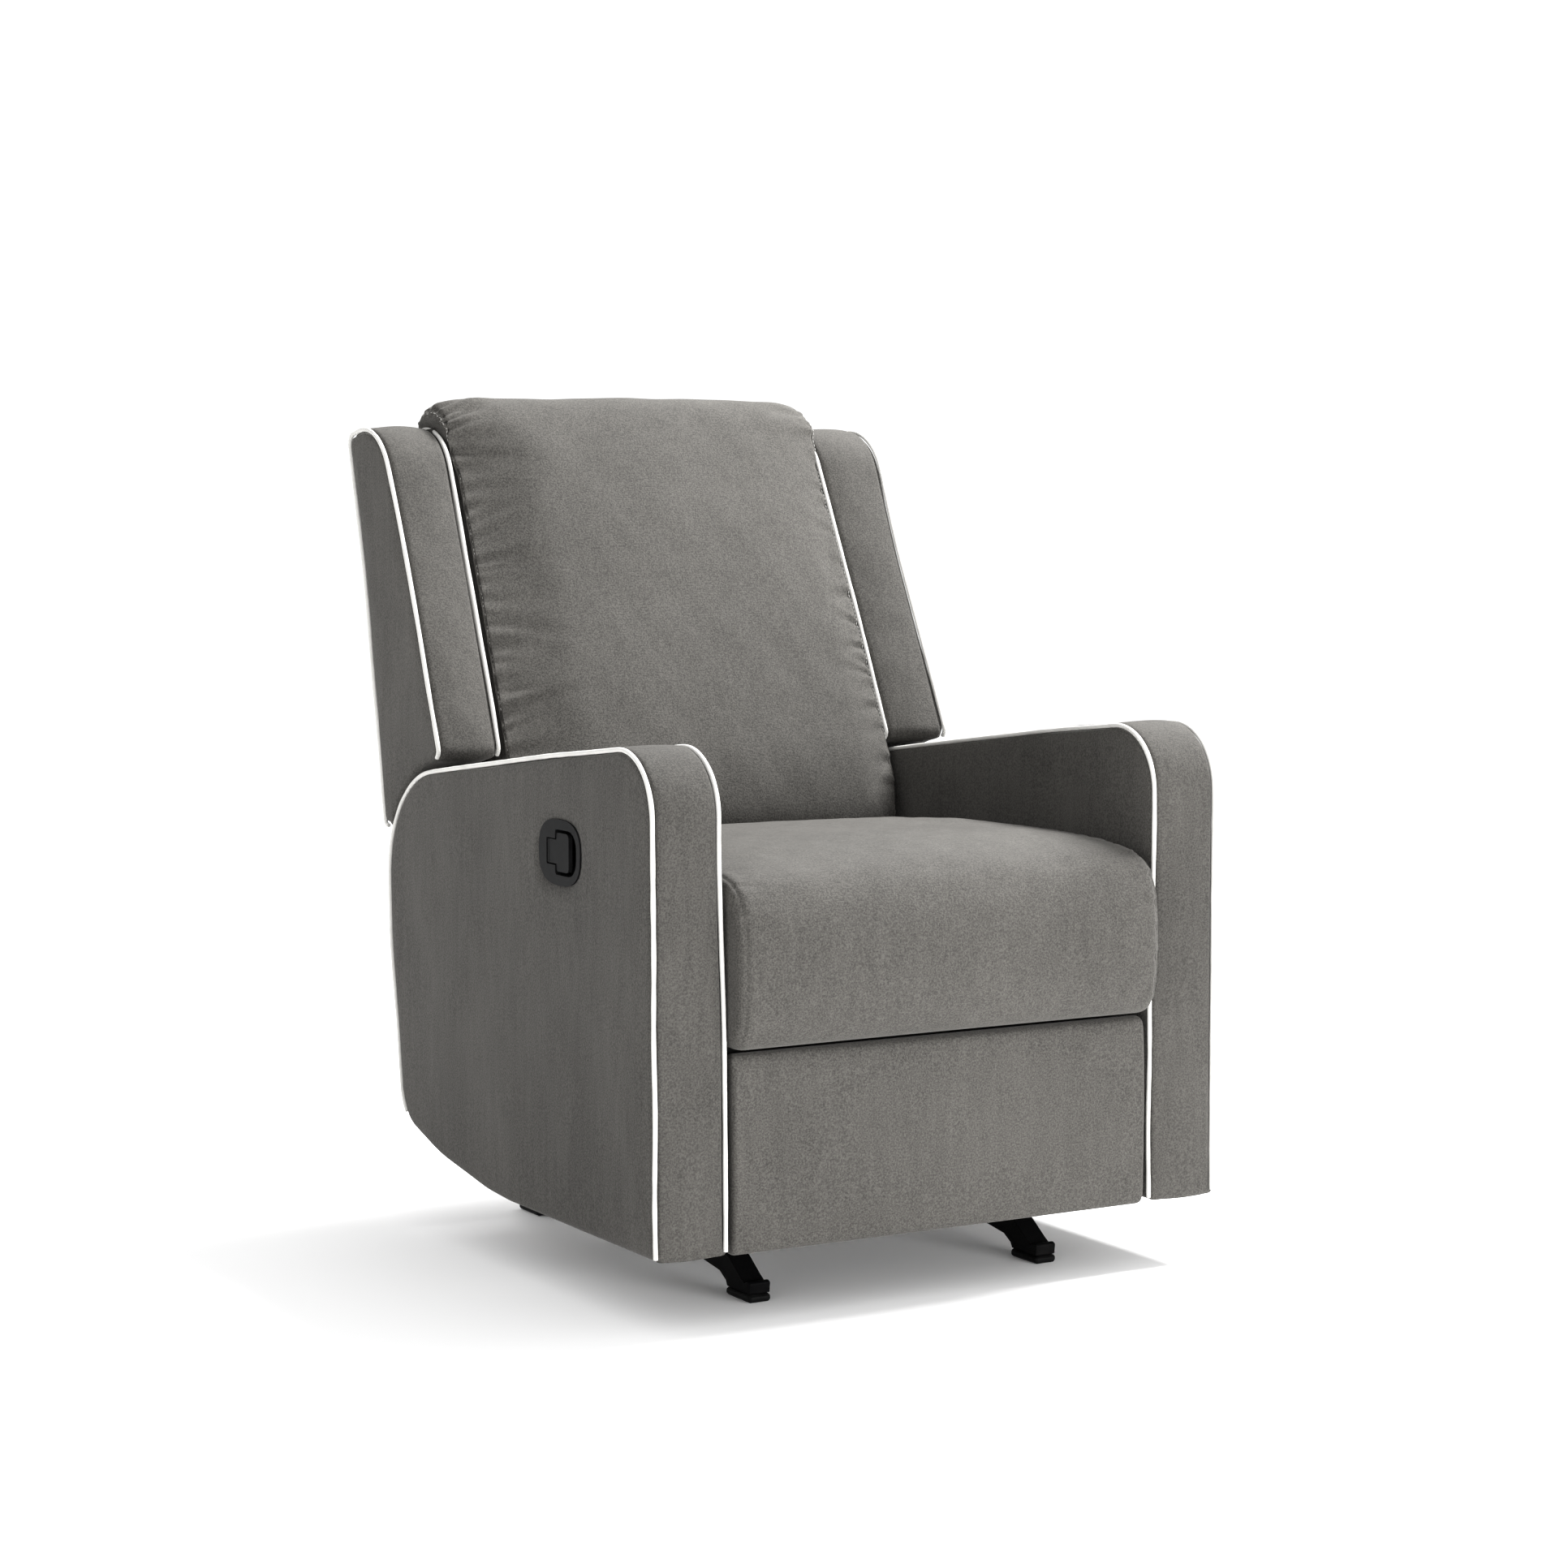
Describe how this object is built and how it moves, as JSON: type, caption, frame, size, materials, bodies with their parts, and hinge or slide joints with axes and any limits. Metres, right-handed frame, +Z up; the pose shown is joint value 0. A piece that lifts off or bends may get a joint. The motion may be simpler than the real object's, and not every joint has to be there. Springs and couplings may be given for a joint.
{
  "type": "rocker recliner chair",
  "caption": "Upholstered rocker recliner with piped arms and wings, fold-out footrest, reclining back and side release handle.",
  "frame": {"origin": "on the floor, under the middle of the chair's bounding box", "axes": "+Z up, the chair faces -Y, +X is the sitter's left side; the release handle is on the -X arm"},
  "size_m": [0.7715, 0.9021, 1.0484],
  "materials": {
    "velour": "warm grey short-pile velour with a soft sheen and faint upright streaks",
    "piping": "off-white woven piping cord, matte",
    "black_steel": "satin black powder coat",
    "spring_wire": "oiled spring steel wire",
    "frame_wood": "unfinished plywood and softwood",
    "black_plastic": "fine-grained moulded black plastic",
    "rubber": "matte black moulded rubber"
  },
  "bodies": {
    "base": {"base_crossbar_front": "black_steel", "base_crossbar_rear": "black_steel", "base_rail_l": "black_steel", "base_rail_r": "black_steel", "foot_glide_front_l": "rubber", "foot_glide_front_r": "rubber", "foot_glide_rear_l": "rubber", "foot_glide_rear_r": "rubber", "rocker_spring_l": "spring_wire", "rocker_spring_r": "spring_wire", "spring_seat_l": "black_steel", "spring_seat_r": "black_steel"},
    "chassis": {"arm_border_l": "velour", "arm_border_r": "velour", "arm_frame_l": "frame_wood", "arm_frame_r": "frame_wood", "arm_inner_panel_l": "velour", "arm_inner_panel_r": "velour", "arm_outer_panel_l": "velour", "arm_outer_panel_r": "velour", "arm_piping_inner_l": "piping", "arm_piping_inner_r": "piping", "arm_piping_outer_l": "piping", "arm_piping_outer_r": "piping", "handle_bezel": "black_plastic", "rocker_cam_l": "black_steel", "rocker_cam_r": "black_steel", "seat_cushion": "velour", "seat_rail_front": "frame_wood", "seat_rail_l": "frame_wood", "seat_rail_r": "frame_wood", "seat_rail_rear": "frame_wood", "seat_spring_1": "spring_wire", "seat_spring_2": "spring_wire", "seat_spring_3": "spring_wire", "side_plate_l": "black_steel", "side_plate_r": "black_steel", "spring_cap_l": "black_steel", "spring_cap_r": "black_steel"},
    "footrest_drive": {"torque_tube": "black_steel", "footrest_rear_link_l": "black_steel", "footrest_rear_link_r": "black_steel"},
    "footrest_link": {"footrest_front_link_l": "black_steel", "footrest_front_link_r": "black_steel"},
    "footrest_panel": {"footrest_board": "frame_wood", "footrest_pad": "velour", "footrest_bracket_l": "black_steel", "footrest_bracket_r": "black_steel"},
    "back": {"back_bracket_l": "black_steel", "back_bracket_r": "black_steel", "back_cushion": "velour", "back_frame": "frame_wood", "outside_back_panel": "velour", "wing_l": "velour", "wing_piping_inner_l": "piping", "wing_piping_inner_r": "piping", "wing_piping_outer_l": "piping", "wing_piping_outer_r": "piping", "wing_r": "velour"},
    "release": {"release_handle": "black_plastic"}
  },
  "joints": [
    {"name": "rock", "type": "hinge", "parent": "base", "child": "chassis", "pos_m": [0, -0.046, 0.078], "axis": [1, 0, 0], "range_deg": [-9, 8], "stiffness_Nm_per_rad": 360, "springref_deg": 1.41, "deforming": ["rocker_spring_l", "rocker_spring_r"]},
    {"name": "footrest_open", "type": "hinge", "parent": "chassis", "child": "footrest_drive", "pos_m": [0, -0.286, 0.284], "axis": [-1, 0, 0], "range_deg": [0, 96.87]},
    {"name": "footrest_knee", "type": "hinge", "parent": "footrest_drive", "child": "footrest_link", "pos_m": [0, -0.2562, 0.1115], "axis": [1, 0, 0], "range_deg": [0, 135.13]},
    {"name": "footrest_toe", "type": "hinge", "parent": "footrest_link", "child": "footrest_panel", "pos_m": [0, -0.3627, 0.2844], "axis": [-1, 0, 0], "range_deg": [0, 126.26]},
    {"name": "recline", "type": "hinge", "parent": "chassis", "child": "back", "pos_m": [0, 0.179, 0.4], "axis": [-1, 0, 0], "range_deg": [0, 35]},
    {"name": "release_pull", "type": "hinge", "parent": "chassis", "child": "release", "pos_m": [-0.383, -0.1665, 0.521], "axis": [0, 0, -1], "range_deg": [0, 35], "stiffness_Nm_per_rad": 0.4, "springref_deg": -8.59}
  ],
  "couplings": [
    {"joint": "footrest_knee", "follows": "footrest_open", "ratio": 1.3929},
    {"joint": "footrest_toe", "follows": "footrest_open", "ratio": 1.3013}
  ]
}
